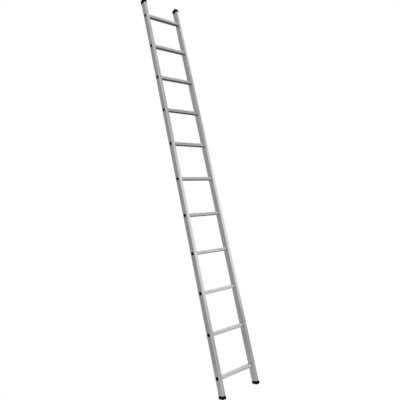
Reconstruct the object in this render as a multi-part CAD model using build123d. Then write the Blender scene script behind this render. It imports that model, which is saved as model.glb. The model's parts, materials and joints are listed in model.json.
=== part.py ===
from build123d import *
import os

# Single section ladder: two box-section stiles, hollow rungs swaged through them, and a moulded
# plug in each open end of a stile.
# Frame: X runs along the rungs, Y from front to back, Z up the stiles. The origin lies on the
# floor under the middle of the ladder.

# Driving dimensions, in millimetres

# Whole ladder
RUNG_COUNT = 11
RUNG_PITCH = 280            # from one rung's axis to the next
CLEAR_WIDTH = 294           # between the inner faces of the stiles
SOLE_TO_RUNG = 131          # from the soles to the lowest rung's axis
RUNG_TO_TOP = 152           # from the highest rung's axis to the top of the caps

# Stile: a box-section tube, well rounded along its outer side and nearly sharp beside the rungs
STILE_WIDTH = 24            # along the rungs
STILE_DEPTH = 49            # front to back
STILE_WALL = 1.4
STILE_EDGE_RADIUS = 5       # outside, along the edges away from the rungs
STILE_INNER_RADIUS = 1      # outside, along the edges beside the rungs

# Rung: a rounded tube, grooved along its tread, front and back
RUNG_HEIGHT = 24
RUNG_DEPTH = 31
RUNG_WALL = 1.7
RUNG_EDGE_RADIUS = 4.5      # outside
RUNG_FIT = 0.1              # gap all round a rung in its hole through the stile
GROOVE_PITCH = 3
GROOVE_WIDTH = 1.8
GROOVE_DEPTH = 0.7

# Swaged rung end: a flared rim on the stile's outer face and a bead on its inner face
FLARE_REACH = 3             # how far the rim stands out round the tube
FLARE_THICKNESS = 1.5
FLARE_EDGE_RADIUS = 0.7
MOUTH_RADIUS = 1.8          # where the bore turns into the rim
BEAD_REACH = 1.4            # how far the bead stands out round the tube
BEAD_WIDTH = 3
BEAD_EDGE_RADIUS = 1.2

# Plug: a block that shows at the end of the stile, and a hollow shank inside the stile
FOOT_HEIGHT = 22            # of a foot's block
CAP_HEIGHT = 34             # of a cap's block
PLUG_OVERHANG = 2           # of the block past the stile, all round
PLUG_RIM_RADIUS = 0.8       # along the edge beside the stile
PLUG_END_WALL = 12          # solid thickness at the plug's outer end
FOOT_END_RADIUS = 8         # from the sole to the front and back
CAP_FRONT_RADIUS = 22       # from the top to the front
CAP_BACK_RADIUS = 4         # from the top to the back
PLUG_SIDE_RADIUS = 5        # round both sides of the block
SHANK_LENGTH = 45
SHANK_WALL = 2.5
SHANK_GAP = 0.4             # between the shank and the inside of the stile
SHANK_LEAD = 1              # chamfer at the shank's inner end
RIB_WIDTH = 2               # of the ribs that grip the inside of the stile
RIB_SPACING = 24            # between the two ribs on each wide side of the shank
RIB_FIT = 0.05              # gap between a rib and the stile
SOLE_GROOVE_PITCH = 9
SOLE_GROOVE_WIDTH = 2.5
SOLE_GROOVE_DEPTH = 1.5

# Derived sizes and places

STILE_CENTRE = (CLEAR_WIDTH + STILE_WIDTH) / 2
STILE_OUTER_FACE = CLEAR_WIDTH / 2 + STILE_WIDTH
RUNG_LEVELS = [SOLE_TO_RUNG + step * RUNG_PITCH for step in range(RUNG_COUNT)]
LADDER_HEIGHT = RUNG_LEVELS[-1] + RUNG_TO_TOP
STILE_LENGTH = LADDER_HEIGHT - FOOT_HEIGHT - CAP_HEIGHT
BLOCK_WIDTH = STILE_WIDTH + 2 * PLUG_OVERHANG
BLOCK_DEPTH = STILE_DEPTH + 2 * PLUG_OVERHANG
FILLET_LIMIT = 0.95         # largest share of a wall that its rounding may take


def stile_outline():
    """The right stile's outside outline, with the rungs on its left."""
    outline = Rectangle(STILE_WIDTH, STILE_DEPTH)
    outline = fillet(outline.vertices().sort_by(Axis.X)[:2], STILE_INNER_RADIUS)
    return fillet(outline.vertices().sort_by(Axis.X)[-2:], STILE_EDGE_RADIUS)


def hollow_outline(inset=0.0):
    """The outline of the stile's hollow, drawn in all round."""
    return RectangleRounded(
        STILE_WIDTH - 2 * (STILE_WALL + inset),
        STILE_DEPTH - 2 * (STILE_WALL + inset),
        STILE_EDGE_RADIUS - STILE_WALL,
    )


def rung_outline(growth=0.0):
    """The rung's outline without its grooves, grown all round, as seen along X."""
    return RectangleRounded(
        RUNG_DEPTH + 2 * growth,
        RUNG_HEIGHT + 2 * growth,
        RUNG_EDGE_RADIUS + growth,
    )


def groove_places(room, width, pitch):
    """Places of as many grooves as the room takes, evenly about zero."""
    count = int((room - width) // pitch) + 1
    return [(index - (count - 1) / 2) * pitch for index in range(count)]


def along_x(outline, start, length):
    """An outline drawn in the YZ plane, made solid along X."""
    return extrude(Plane.YZ.offset(start) * outline, length)


def make_stile():
    """The right stile with a hole through both walls for each rung."""
    section = stile_outline() - hollow_outline()
    tube = Pos(STILE_CENTRE, 0, FOOT_HEIGHT) * extrude(section, STILE_LENGTH)
    hole = along_x(rung_outline(RUNG_FIT), CLEAR_WIDTH / 2, STILE_WIDTH)
    return tube - [Pos(0, 0, level) * hole for level in RUNG_LEVELS]


def rung_section():
    """The rung's outline with its grooves cut into the tread, the front and the back."""
    half = GROOVE_WIDTH / 2
    notch = Polygon(
        (-half, GROOVE_DEPTH),
        (-half, 0),
        (0, -GROOVE_DEPTH),
        (half, 0),
        (half, GROOVE_DEPTH),
        align=None,
    )
    tread_flat = RUNG_DEPTH - 2 * RUNG_EDGE_RADIUS
    face_flat = RUNG_HEIGHT - 2 * RUNG_EDGE_RADIUS
    notches = []
    for place in groove_places(tread_flat, GROOVE_WIDTH, GROOVE_PITCH):
        notches.append(Pos(place, RUNG_HEIGHT / 2) * notch)
    for place in groove_places(face_flat, GROOVE_WIDTH, GROOVE_PITCH):
        notches.append(Pos(-RUNG_DEPTH / 2, place) * Rot(0, 0, 90) * notch)
        notches.append(Pos(RUNG_DEPTH / 2, place) * Rot(0, 0, -90) * notch)
    return rung_outline() - notches


def rung_end():
    """The flared rim and the bead that hold a rung in the right stile."""
    rim = along_x(rung_outline(FLARE_REACH), STILE_OUTER_FACE, FLARE_THICKNESS)
    rim = fillet(rim.faces().sort_by(Axis.X)[-1].edges(), FLARE_EDGE_RADIUS)
    bead = along_x(rung_outline(BEAD_REACH), CLEAR_WIDTH / 2 - BEAD_WIDTH, BEAD_WIDTH)
    bead_radius = min(BEAD_EDGE_RADIUS, FILLET_LIMIT * BEAD_REACH, FILLET_LIMIT * BEAD_WIDTH)
    bead = fillet(bead.faces().sort_by(Axis.X)[0].edges(), bead_radius)
    return [rim, bead]


def make_rung():
    """One rung, lying along X with its axis through the origin."""
    reach = STILE_OUTER_FACE + FLARE_THICKNESS
    right_end = rung_end()
    left_end = [mirror(piece, about=Plane.YZ) for piece in right_end]
    body = along_x(rung_section(), -STILE_OUTER_FACE, 2 * STILE_OUTER_FACE) + right_end + left_end
    rung = body - along_x(rung_outline(-RUNG_WALL), -reach, 2 * reach)
    ends = rung.faces().sort_by(Axis.X)
    mouth_edges = ends[0].inner_wires()[0].edges() + ends[-1].inner_wires()[0].edges()
    return fillet(mouth_edges, MOUTH_RADIUS)


def shank_ribs():
    """Ribs on the outside of a plug's shank: two on each wide side, one on each narrow side."""
    length = SHANK_LENGTH - SHANK_LEAD
    inside_width = STILE_WIDTH - 2 * (STILE_WALL + RIB_FIT)
    inside_depth = STILE_DEPTH - 2 * (STILE_WALL + RIB_FIT)
    upward = (Align.CENTER, Align.CENTER, Align.MIN)
    across = Box(inside_width, RIB_WIDTH, length, align=upward)
    lengthwise = Box(RIB_WIDTH, inside_depth, length, align=upward)
    return [Pos(0, -RIB_SPACING / 2) * across, Pos(0, RIB_SPACING / 2) * across, lengthwise]


def plug_block(height, front_radius, back_radius):
    """The block that shows, standing on its outer end, which is rounded front and back and on both sides."""
    largest = FILLET_LIMIT * min(BLOCK_DEPTH / 2, height)
    front_radius = min(front_radius, largest)
    back_radius = min(back_radius, largest)
    profile = Rectangle(BLOCK_DEPTH, height, align=(Align.CENTER, Align.MIN))
    profile = fillet(profile.vertices().sort_by(Axis.Y)[:2].sort_by(Axis.X)[0], front_radius)
    profile = fillet(profile.vertices().sort_by(Axis.Y)[:2].sort_by(Axis.X)[-1], back_radius)
    block = along_x(profile, -BLOCK_WIDTH / 2, BLOCK_WIDTH)
    faces = block.faces().sort_by(Axis.X)
    side_edges = faces[0].edges().sort_by(Axis.Z)[:-1] + faces[-1].edges().sort_by(Axis.Z)[:-1]
    side_radius = min(PLUG_SIDE_RADIUS, FILLET_LIMIT * min(front_radius, back_radius, BLOCK_WIDTH / 2))
    block = fillet(side_edges, side_radius)
    return fillet(block.faces().sort_by(Axis.Z)[-1].edges(), PLUG_RIM_RADIUS)


def make_plug(height, front_radius, back_radius):
    """One plug standing on its outer end, with its shank upwards."""
    shank = extrude(hollow_outline(SHANK_GAP), SHANK_LENGTH)
    shank = chamfer(shank.faces().sort_by(Axis.Z)[-1].edges(), SHANK_LEAD)
    pocket = extrude(hollow_outline(SHANK_GAP + SHANK_WALL), height + SHANK_LENGTH - PLUG_END_WALL)
    plug = plug_block(height, front_radius, back_radius) + Pos(0, 0, height) * (shank + shank_ribs())
    return plug - Pos(0, 0, PLUG_END_WALL) * pocket


def make_foot():
    """A plug with grooves across its sole."""
    groove = Box(
        BLOCK_WIDTH,
        SOLE_GROOVE_WIDTH,
        SOLE_GROOVE_DEPTH,
        align=(Align.CENTER, Align.CENTER, Align.MIN),
    )
    places = groove_places(BLOCK_DEPTH - 2 * FOOT_END_RADIUS, SOLE_GROOVE_WIDTH, SOLE_GROOVE_PITCH)
    plug = make_plug(FOOT_HEIGHT, FOOT_END_RADIUS, FOOT_END_RADIUS)
    return plug - [Pos(0, place, 0) * groove for place in places]


def ladder_pieces():
    """Every piece of the ladder in its place, by name."""
    foot = make_foot()
    cap = mirror(make_plug(CAP_HEIGHT, CAP_FRONT_RADIUS, CAP_BACK_RADIUS), about=Plane.XY)
    rung = make_rung()
    stile = make_stile()
    pieces = {"left_stile": mirror(stile, about=Plane.YZ), "right_stile": stile}
    for name, side in (("left", -1), ("right", 1)):
        pieces[f"foot_{name}"] = Pos(side * STILE_CENTRE, 0, 0) * foot
        pieces[f"top_cap_{name}"] = Pos(side * STILE_CENTRE, 0, LADDER_HEIGHT) * cap
    for number, level in enumerate(RUNG_LEVELS, start=1):
        pieces[f"rung_{number:02d}"] = Pos(0, 0, level) * rung
    return pieces


os.makedirs("parts", exist_ok=True)
for node, shape in ladder_pieces().items():
    export_step(shape, f"parts/{node}.step")
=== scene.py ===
import json
import math

import bpy
from mathutils import Matrix, Vector


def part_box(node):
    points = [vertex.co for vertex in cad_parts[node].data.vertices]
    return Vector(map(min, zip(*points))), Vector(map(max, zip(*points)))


# Looks of the single section ladder, in metres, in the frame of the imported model: X along the rungs,
# Y from front to back, Z up the stiles, with the floor at zero.

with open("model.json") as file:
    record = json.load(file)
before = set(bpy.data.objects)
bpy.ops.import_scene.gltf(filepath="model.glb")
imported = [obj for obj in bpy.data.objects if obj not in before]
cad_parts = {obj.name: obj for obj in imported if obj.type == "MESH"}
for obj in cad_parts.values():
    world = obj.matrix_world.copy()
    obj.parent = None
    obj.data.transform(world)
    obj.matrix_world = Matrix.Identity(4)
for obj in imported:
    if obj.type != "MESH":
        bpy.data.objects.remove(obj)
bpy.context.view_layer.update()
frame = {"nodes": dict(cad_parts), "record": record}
RECORD_SLOTS = {row["node"]: row["material_slot"] for row in frame["record"]["subparts"]}

# Camera: it looks at a point on the ladder's middle plane, from the front left and from below
CAMERA_TARGET = (0.0145, 0.0, 1.4249)
CAMERA_AZIMUTH = -39.84       # degrees round the ladder from straight in front, left is negative
CAMERA_ELEVATION = -12.35     # degrees above the target's level
CAMERA_ROLL = -11.81          # degrees
CAMERA_DISTANCE = 3.0511
CAMERA_LENS = 36.03           # millimetres
CAMERA_SHIFT = -0.02          # upwards, as a share of the picture's width
SENSOR_WIDTH = 36.0           # millimetres

# Surroundings: a studio that is brighter in front and on the left, with a white backdrop behind the ladder
STUDIO_LEVEL = 0.49           # brightness halfway between its dark and its bright side
STUDIO_SLOPE = (-0.20, -0.26, -0.02)  # how much brighter it gets towards X, Y and Z
STUDIO_FLOOR = 0.5            # what is left of its brightness straight down
STUDIO_FLOOR_EDGE = (-0.34, -0.12)    # heights of a unit direction between which it dims downwards
BACKDROP_AIM = (0.588, 0.784, 0.198)  # from the ladder to the middle of the backdrop
BACKDROP_INNER = 28.0         # degrees from its middle to where it starts to fade
BACKDROP_OUTER = 48.0         # degrees from its middle to where it ends
BACKDROP_FOOT = (-0.10, 0.06)         # heights of a unit direction between which it fades out downwards

# Floor: a faint pale floor that fades into the background
FLOOR_COLOUR = (0.90, 0.90, 0.90, 1.0)
FLOOR_RADIUS = 1.6
FLOOR_CORNERS = 96
FLOOR_FADE_START = 0.30       # as a share of the radius
FLOOR_COVER = 0.25            # how much of the background it hides at its middle
FLOOR_GLOW = 0.52             # what the camera and reflections see on it besides its lit colour

# Softboxes: the middle of each one's face, the point it faces, its size and how bright its face looks
SOFTBOXES = {
    # A tall one that the front faces of the stiles mirror
    "key": dict(place=(1.85, -2.2, 1.56), target=(0.0, -0.2, 1.56), width=1.9, height=2.35, brightness=0.56),
    # A far one high on the right, for the treads and fronts of the lower rungs
    "fill": dict(place=(7.4, -2.3, 9.8), target=(0.0, 0.0, 0.7), width=6.4, height=5.2, brightness=2.1),
    # One high on the left, for the rounded front edges of the upper half
    "top": dict(place=(-1.1, -2.5, 3.9), target=(-0.1, 0.0, 2.3), width=1.2, height=1.6, brightness=0.75),
}

# Aluminium: fine drawing lines along each extrusion, and faint clouds
STILE_BRIGHTNESS = 0.64
RUNG_BRIGHTNESS = 0.60
COOL_TINT = 1.02              # blue as a share of red and green
LINES_ACROSS = 700.0          # noise scales across and along the drawing lines
LINES_ALONG = 3.0
LINES_NOISE = dict(detail=3.0, roughness=0.6)
LINES_CONTRAST = 0.07
LINES_ROUGHNESS = (0.22, 0.30)
LINES_RELIEF = dict(strength=0.12, distance=0.0004)
CLOUDS_ACROSS = 30.0          # the same for the clouds
CLOUDS_ALONG = 6.0
CLOUDS_NOISE = dict(detail=4.0, roughness=0.55)
CLOUDS_CONTRAST = 0.05
CLOUDS_ROUGHNESS = (-0.03, 0.05)      # added to the roughness of the lines

# Bore through each rung, whose inside is dull and has painted shade that makes its colour dark
BORE_INSET = 0.0046           # from the outer edge of the flared rim to just past the wall of the bore
BORE_PAINTED_SHADE = 0.05
BORE_ROUGHNESS = 0.70

# Black plugs: a fine grain over faint clouds
FOOT = dict(brightness=0.006, roughness=0.68, grain=900.0)
CAP = dict(brightness=0.005, roughness=0.58, grain=1200.0)
GRAIN_NOISE = dict(detail=3.0, roughness=0.6)
GRAIN_CONTRAST = (0.85, 1.20)
GRAIN_RELIEF = dict(strength=0.25, distance=0.0003)
PLUG_CLOUDS = 60.0            # noise scale
PLUG_CLOUDS_NOISE = dict(detail=3.0, roughness=0.5)
PLUG_CLOUDS_CONTRAST = 0.15
PLUG_ROUGHNESS_SPREAD = 0.06
PLUG_SPECULAR = 0.05

NOISE_RANGE = (0.3, 0.7)      # between these lie nearly all values of a noise texture
UP = (0.0, 0.0, 1.0)
WHITE = (1.0, 1.0, 1.0, 1.0)


def direction(azimuth, elevation):
    """Unit vector from the ladder towards a place at these angles, in degrees."""
    turn = math.radians(azimuth)
    rise = math.radians(elevation)
    return Vector((
        math.sin(turn) * math.cos(rise),
        -math.cos(turn) * math.cos(rise),
        math.sin(rise),
    ))


def add_node(tree, kind, settings=None, **values):
    """A shader node with its plain settings and its input values."""
    node = tree.nodes.new(kind)
    for name, value in (settings or {}).items():
        setattr(node, name, value)
    for name, value in values.items():
        node.inputs[name.replace("_", " ")].default_value = value
    return node


def new_material(name):
    """An empty material, its node tree and its Principled shader, already joined to the output."""
    material = bpy.data.materials.new(name)
    material.use_nodes = True
    tree = material.node_tree
    tree.nodes.clear()
    output = tree.nodes.new("ShaderNodeOutputMaterial")
    shader = tree.nodes.new("ShaderNodeBsdfPrincipled")
    tree.links.new(shader.outputs["BSDF"], output.inputs["Surface"])
    return material, tree, shader


def noise(tree, scale, detail, roughness):
    """A noise texture in the ladder's own coordinates, stretched by a scale along each axis."""
    place = tree.nodes.new("ShaderNodeTexCoord")
    stretch = add_node(tree, "ShaderNodeMapping", Scale=scale)
    texture = add_node(tree, "ShaderNodeTexNoise", Scale=1.0, Detail=detail, Roughness=roughness)
    tree.links.new(place.outputs["Object"], stretch.inputs["Vector"])
    tree.links.new(stretch.outputs["Vector"], texture.inputs["Vector"])
    return texture.outputs["Fac"]


def ranged(tree, source, low, high):
    """A noise value turned into a number between low and high."""
    spread = add_node(
        tree, "ShaderNodeMapRange",
        From_Min=NOISE_RANGE[0], From_Max=NOISE_RANGE[1], To_Min=low, To_Max=high,
    )
    tree.links.new(source, spread.inputs["Value"])
    return spread.outputs["Result"]


def combined(tree, operation, first, second):
    """Two values joined by a math operation."""
    join = add_node(tree, "ShaderNodeMath", {"operation": operation})
    tree.links.new(first, join.inputs[0])
    tree.links.new(second, join.inputs[1])
    return join.outputs["Value"]


def with_number(tree, operation, value, number):
    """A value joined to a fixed number by a math operation."""
    join = add_node(tree, "ShaderNodeMath", {"operation": operation})
    join.inputs[1].default_value = number
    tree.links.new(value, join.inputs[0])
    return join.outputs["Value"]


def cool_grey(tree, value):
    """A faintly blue grey from a value."""
    colour = tree.nodes.new("ShaderNodeCombineColor")
    tree.links.new(value, colour.inputs["Red"])
    tree.links.new(value, colour.inputs["Green"])
    tree.links.new(with_number(tree, "MULTIPLY", value, COOL_TINT), colour.inputs["Blue"])
    return colour.outputs["Color"]


def bumped(tree, shader, height, strength, distance):
    """Relief on the shader's surface."""
    bump = add_node(tree, "ShaderNodeBump", Strength=strength, Distance=distance)
    tree.links.new(height, bump.inputs["Height"])
    tree.links.new(bump.outputs["Normal"], shader.inputs["Normal"])


def drawn_metal(name, brightness, along):
    """Mill-finish aluminium drawn along one axis, 0 for X or 2 for Z, with its brightness and roughness."""
    material, tree, shader = new_material(name)
    line_scale = [LINES_ACROSS] * 3
    line_scale[along] = LINES_ALONG
    lines = noise(tree, line_scale, **LINES_NOISE)
    cloud_scale = [CLOUDS_ACROSS] * 3
    cloud_scale[along] = CLOUDS_ALONG
    clouds = noise(tree, cloud_scale, **CLOUDS_NOISE)
    level = combined(
        tree, "MULTIPLY",
        ranged(tree, lines, (1.0 - LINES_CONTRAST) * brightness, (1.0 + LINES_CONTRAST) * brightness),
        ranged(tree, clouds, 1.0 - CLOUDS_CONTRAST, 1.0 + CLOUDS_CONTRAST),
    )
    gloss = combined(
        tree, "ADD",
        ranged(tree, lines, *LINES_ROUGHNESS),
        ranged(tree, clouds, *CLOUDS_ROUGHNESS),
    )
    shader.inputs["Metallic"].default_value = 1.0
    bumped(tree, shader, lines, **LINES_RELIEF)
    return material, tree, shader, level, gloss


def stile_metal(name):
    """The stiles' aluminium."""
    material, tree, shader, level, gloss = drawn_metal(name, STILE_BRIGHTNESS, along=2)
    tree.links.new(cool_grey(tree, level), shader.inputs["Base Color"])
    tree.links.new(gloss, shader.inputs["Roughness"])
    return material


def bore_shade_mask(tree):
    """One on the wall of a rung's bore, where shade is painted, zero on the rest of the rung."""
    rung_low, rung_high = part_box("rung_01")
    half_size = (rung_high - rung_low) / 2
    lowest_axis = (rung_low.z + rung_high.z) / 2
    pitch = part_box("rung_02")[0].z - rung_low.z
    place = tree.nodes.new("ShaderNodeTexCoord")
    axes = tree.nodes.new("ShaderNodeSeparateXYZ")
    tree.links.new(place.outputs["Object"], axes.inputs["Vector"])
    depth = add_node(tree, "ShaderNodeMath", {"operation": "ABSOLUTE"})
    tree.links.new(axes.outputs["Y"], depth.inputs[0])
    above_lowest = with_number(tree, "SUBTRACT", axes.outputs["Z"], lowest_axis)
    height = with_number(tree, "PINGPONG", above_lowest, pitch / 2)
    return combined(
        tree, "MULTIPLY",
        with_number(tree, "LESS_THAN", depth.outputs["Value"], half_size.y - BORE_INSET),
        with_number(tree, "LESS_THAN", height, half_size.z - BORE_INSET),
    )


def mixed(tree, share, first, second):
    """A value that goes from the first to a fixed number as the share goes from zero to one."""
    mix = add_node(tree, "ShaderNodeMix", {"data_type": "FLOAT"})
    mix.inputs["B"].default_value = second
    tree.links.new(share, mix.inputs["Factor"])
    tree.links.new(first, mix.inputs["A"])
    return mix.outputs["Result"]


def rung_metal(name):
    """The rungs' aluminium, dull inside the bore, with painted shade that darkens its colour there."""
    material, tree, shader, level, gloss = drawn_metal(name, RUNG_BRIGHTNESS, along=0)
    bore_shade = bore_shade_mask(tree)
    # Painted shade: the wall of the bore takes a dark colour instead of the aluminium's
    level = mixed(tree, bore_shade, level, BORE_PAINTED_SHADE)
    tree.links.new(cool_grey(tree, level), shader.inputs["Base Color"])
    tree.links.new(mixed(tree, bore_shade, gloss, BORE_ROUGHNESS), shader.inputs["Roughness"])
    return material


def moulded_black(name, brightness, roughness, grain):
    """Black moulded plastic or rubber with a fine grain."""
    material, tree, shader = new_material(name)
    speckle = noise(tree, [grain] * 3, **GRAIN_NOISE)
    clouds = noise(tree, [PLUG_CLOUDS] * 3, **PLUG_CLOUDS_NOISE)
    level = combined(
        tree, "MULTIPLY",
        ranged(tree, speckle, GRAIN_CONTRAST[0] * brightness, GRAIN_CONTRAST[1] * brightness),
        ranged(tree, clouds, 1.0 - PLUG_CLOUDS_CONTRAST, 1.0 + PLUG_CLOUDS_CONTRAST),
    )
    gloss = ranged(tree, clouds, roughness - PLUG_ROUGHNESS_SPREAD, roughness + PLUG_ROUGHNESS_SPREAD)
    tree.links.new(level, shader.inputs["Base Color"])
    tree.links.new(gloss, shader.inputs["Roughness"])
    shader.inputs["Specular IOR Level"].default_value = PLUG_SPECULAR
    bumped(tree, shader, speckle, **GRAIN_RELIEF)
    return material


def dress():
    """Gives every node of the ladder its material."""
    materials = {
        "stile_aluminium": stile_metal("stile_aluminium"),
        "rung_aluminium": rung_metal("rung_aluminium"),
        "foot_rubber": moulded_black("foot_rubber", **FOOT),
        "cap_plastic": moulded_black("cap_plastic", **CAP),
    }
    for node, piece in frame["nodes"].items():
        piece.data.materials.clear()
        piece.data.materials.append(materials[RECORD_SLOTS[node]])


def seen_directly(tree):
    """The two kinds of rays that show the background: from the camera, and off metal or through glass."""
    rays = tree.nodes.new("ShaderNodeLightPath")
    bounced = combined(tree, "MAXIMUM", rays.outputs["Is Glossy Ray"], rays.outputs["Is Transmission Ray"])
    return rays.outputs["Is Camera Ray"], bounced


def dot_with(tree, vector, fixed):
    """How far a direction points along a fixed one."""
    dot = add_node(tree, "ShaderNodeVectorMath", {"operation": "DOT_PRODUCT"})
    dot.inputs[1].default_value = fixed
    tree.links.new(vector, dot.inputs[0])
    return dot.outputs["Value"]


def smooth_step(tree, value, start, end, first=0.0):
    """The first number below the start, one above the end, and smooth between them."""
    step = add_node(
        tree, "ShaderNodeMapRange", {"interpolation_type": "SMOOTHSTEP"},
        From_Min=start, From_Max=end, To_Min=first,
    )
    tree.links.new(value, step.inputs["Value"])
    return step.outputs["Result"]


def mixed_shader(tree, share, first, second):
    """A shader that goes from the first to the second as the share goes from zero to one."""
    mix = tree.nodes.new("ShaderNodeMixShader")
    tree.links.new(share, mix.inputs["Fac"])
    tree.links.new(first, mix.inputs[1])
    tree.links.new(second, mix.inputs[2])
    return mix.outputs["Shader"]


def make_world():
    """White to the camera, and in metal where the backdrop is; a plain studio for all other light."""
    world = bpy.data.worlds.new("studio")
    bpy.context.scene.world = world
    world.use_nodes = True
    # Its brightness changes so slowly that no map of its bright places is needed
    world.cycles.sampling_method = "NONE"
    tree = world.node_tree
    tree.nodes.clear()
    output = tree.nodes.new("ShaderNodeOutputWorld")
    white = add_node(tree, "ShaderNodeBackground", Color=WHITE)
    studio = add_node(tree, "ShaderNodeBackground", Color=WHITE)
    place = tree.nodes.new("ShaderNodeTexCoord")
    towards = place.outputs["Generated"]
    height = dot_with(tree, towards, UP)
    level = with_number(tree, "ADD", dot_with(tree, towards, STUDIO_SLOPE), STUDIO_LEVEL)
    dimming = smooth_step(tree, height, *STUDIO_FLOOR_EDGE, first=STUDIO_FLOOR)
    tree.links.new(combined(tree, "MULTIPLY", level, dimming), studio.inputs["Strength"])
    near_middle = smooth_step(
        tree, dot_with(tree, towards, BACKDROP_AIM),
        math.cos(math.radians(BACKDROP_OUTER)), math.cos(math.radians(BACKDROP_INNER)),
    )
    backdrop = combined(tree, "MULTIPLY", near_middle, smooth_step(tree, height, *BACKDROP_FOOT))
    from_camera, bounced = seen_directly(tree)
    share = combined(tree, "MAXIMUM", from_camera, combined(tree, "MULTIPLY", backdrop, bounced))
    surface = mixed_shader(tree, share, studio.outputs["Background"], white.outputs["Background"])
    tree.links.new(surface, output.inputs["Surface"])


def make_floor():
    """A pale disc under the ladder, which takes its shadow and fades out at its rim."""
    bpy.ops.mesh.primitive_circle_add(vertices=FLOOR_CORNERS, radius=FLOOR_RADIUS, fill_type="NGON")
    floor = bpy.context.object
    floor.name = "floor"
    material = bpy.data.materials.new("floor")
    material.use_nodes = True
    tree = material.node_tree
    tree.nodes.clear()
    output = tree.nodes.new("ShaderNodeOutputMaterial")
    matt = add_node(tree, "ShaderNodeBsdfDiffuse", Color=FLOOR_COLOUR)
    glow = tree.nodes.new("ShaderNodeEmission")
    clear = tree.nodes.new("ShaderNodeBsdfTransparent")
    shown = combined(tree, "MAXIMUM", *seen_directly(tree))
    tree.links.new(with_number(tree, "MULTIPLY", shown, FLOOR_GLOW), glow.inputs["Strength"])
    lit = tree.nodes.new("ShaderNodeAddShader")
    tree.links.new(matt.outputs["BSDF"], lit.inputs[0])
    tree.links.new(glow.outputs["Emission"], lit.inputs[1])
    place = tree.nodes.new("ShaderNodeTexCoord")
    length = add_node(tree, "ShaderNodeVectorMath", {"operation": "LENGTH"})
    tree.links.new(place.outputs["Object"], length.inputs[0])
    fade = smooth_step(
        tree, length.outputs["Value"],
        FLOOR_FADE_START * FLOOR_RADIUS, FLOOR_RADIUS, first=1.0 - FLOOR_COVER,
    )
    surface = mixed_shader(tree, fade, lit.outputs["Shader"], clear.outputs["BSDF"])
    tree.links.new(surface, output.inputs["Surface"])
    floor.data.materials.append(material)


def add_softbox(name, place, target, width, height, brightness):
    """An area lamp that faces a target, as bright as its face looks."""
    lamp = bpy.data.lights.new(name, "AREA")
    lamp.shape = "RECTANGLE"
    lamp.size = width
    lamp.size_y = height
    lamp.energy = brightness * math.pi * width * height
    holder = bpy.data.objects.new(name, lamp)
    bpy.context.scene.collection.objects.link(holder)
    holder.location = place
    holder.rotation_mode = "QUATERNION"
    holder.rotation_quaternion = (Vector(target) - Vector(place)).to_track_quat("-Z", "Y")


def make_camera():
    """The camera at the photograph's viewing angle."""
    camera = bpy.data.cameras.new("camera")
    camera.sensor_width = SENSOR_WIDTH
    camera.lens = CAMERA_LENS
    camera.shift_y = CAMERA_SHIFT
    holder = bpy.data.objects.new("camera", camera)
    bpy.context.scene.collection.objects.link(holder)
    back = direction(CAMERA_AZIMUTH, CAMERA_ELEVATION)
    upright = (-back).to_track_quat("-Z", "Y").to_matrix().to_4x4()
    roll = Matrix.Rotation(math.radians(CAMERA_ROLL), 4, "Z")
    place = Matrix.Translation(Vector(CAMERA_TARGET) + CAMERA_DISTANCE * back)
    holder.matrix_world = place @ upright @ roll
    bpy.context.scene.camera = holder


dress()
make_world()
make_floor()
for softbox, values in SOFTBOXES.items():
    add_softbox(softbox, **values)
make_camera()
bpy.context.scene.view_settings.view_transform = "Standard"
